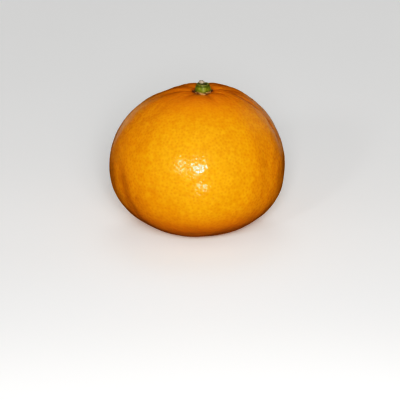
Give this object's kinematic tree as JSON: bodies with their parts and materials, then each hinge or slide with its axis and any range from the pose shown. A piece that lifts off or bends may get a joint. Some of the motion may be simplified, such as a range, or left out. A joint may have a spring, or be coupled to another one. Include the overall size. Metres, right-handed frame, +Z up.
{
  "type": "mandarin",
  "caption": "Whole ripe mandarin, a squat round citrus fruit with a green calyx and a clipped stem stub in the hollow of its crown; rests on its base.",
  "frame": {"origin": "middle of the object's footprint, on the surface it rests on", "axes": "+Z up through the crown, -Y the front of the fruit, towards which the crown dips"},
  "size_m": [0.066, 0.066, 0.0586],
  "materials": {
    "peel": "waxy pebbled citrus rind, satin",
    "calyx": "leathery green, dry beige at the lobes' edges",
    "stem": "cut wood with green bark, matt"
  },
  "bodies": {
    "root": {"fruit": "peel", "calyx": "calyx", "stem_stub": "stem"}
  },
  "joints": []
}
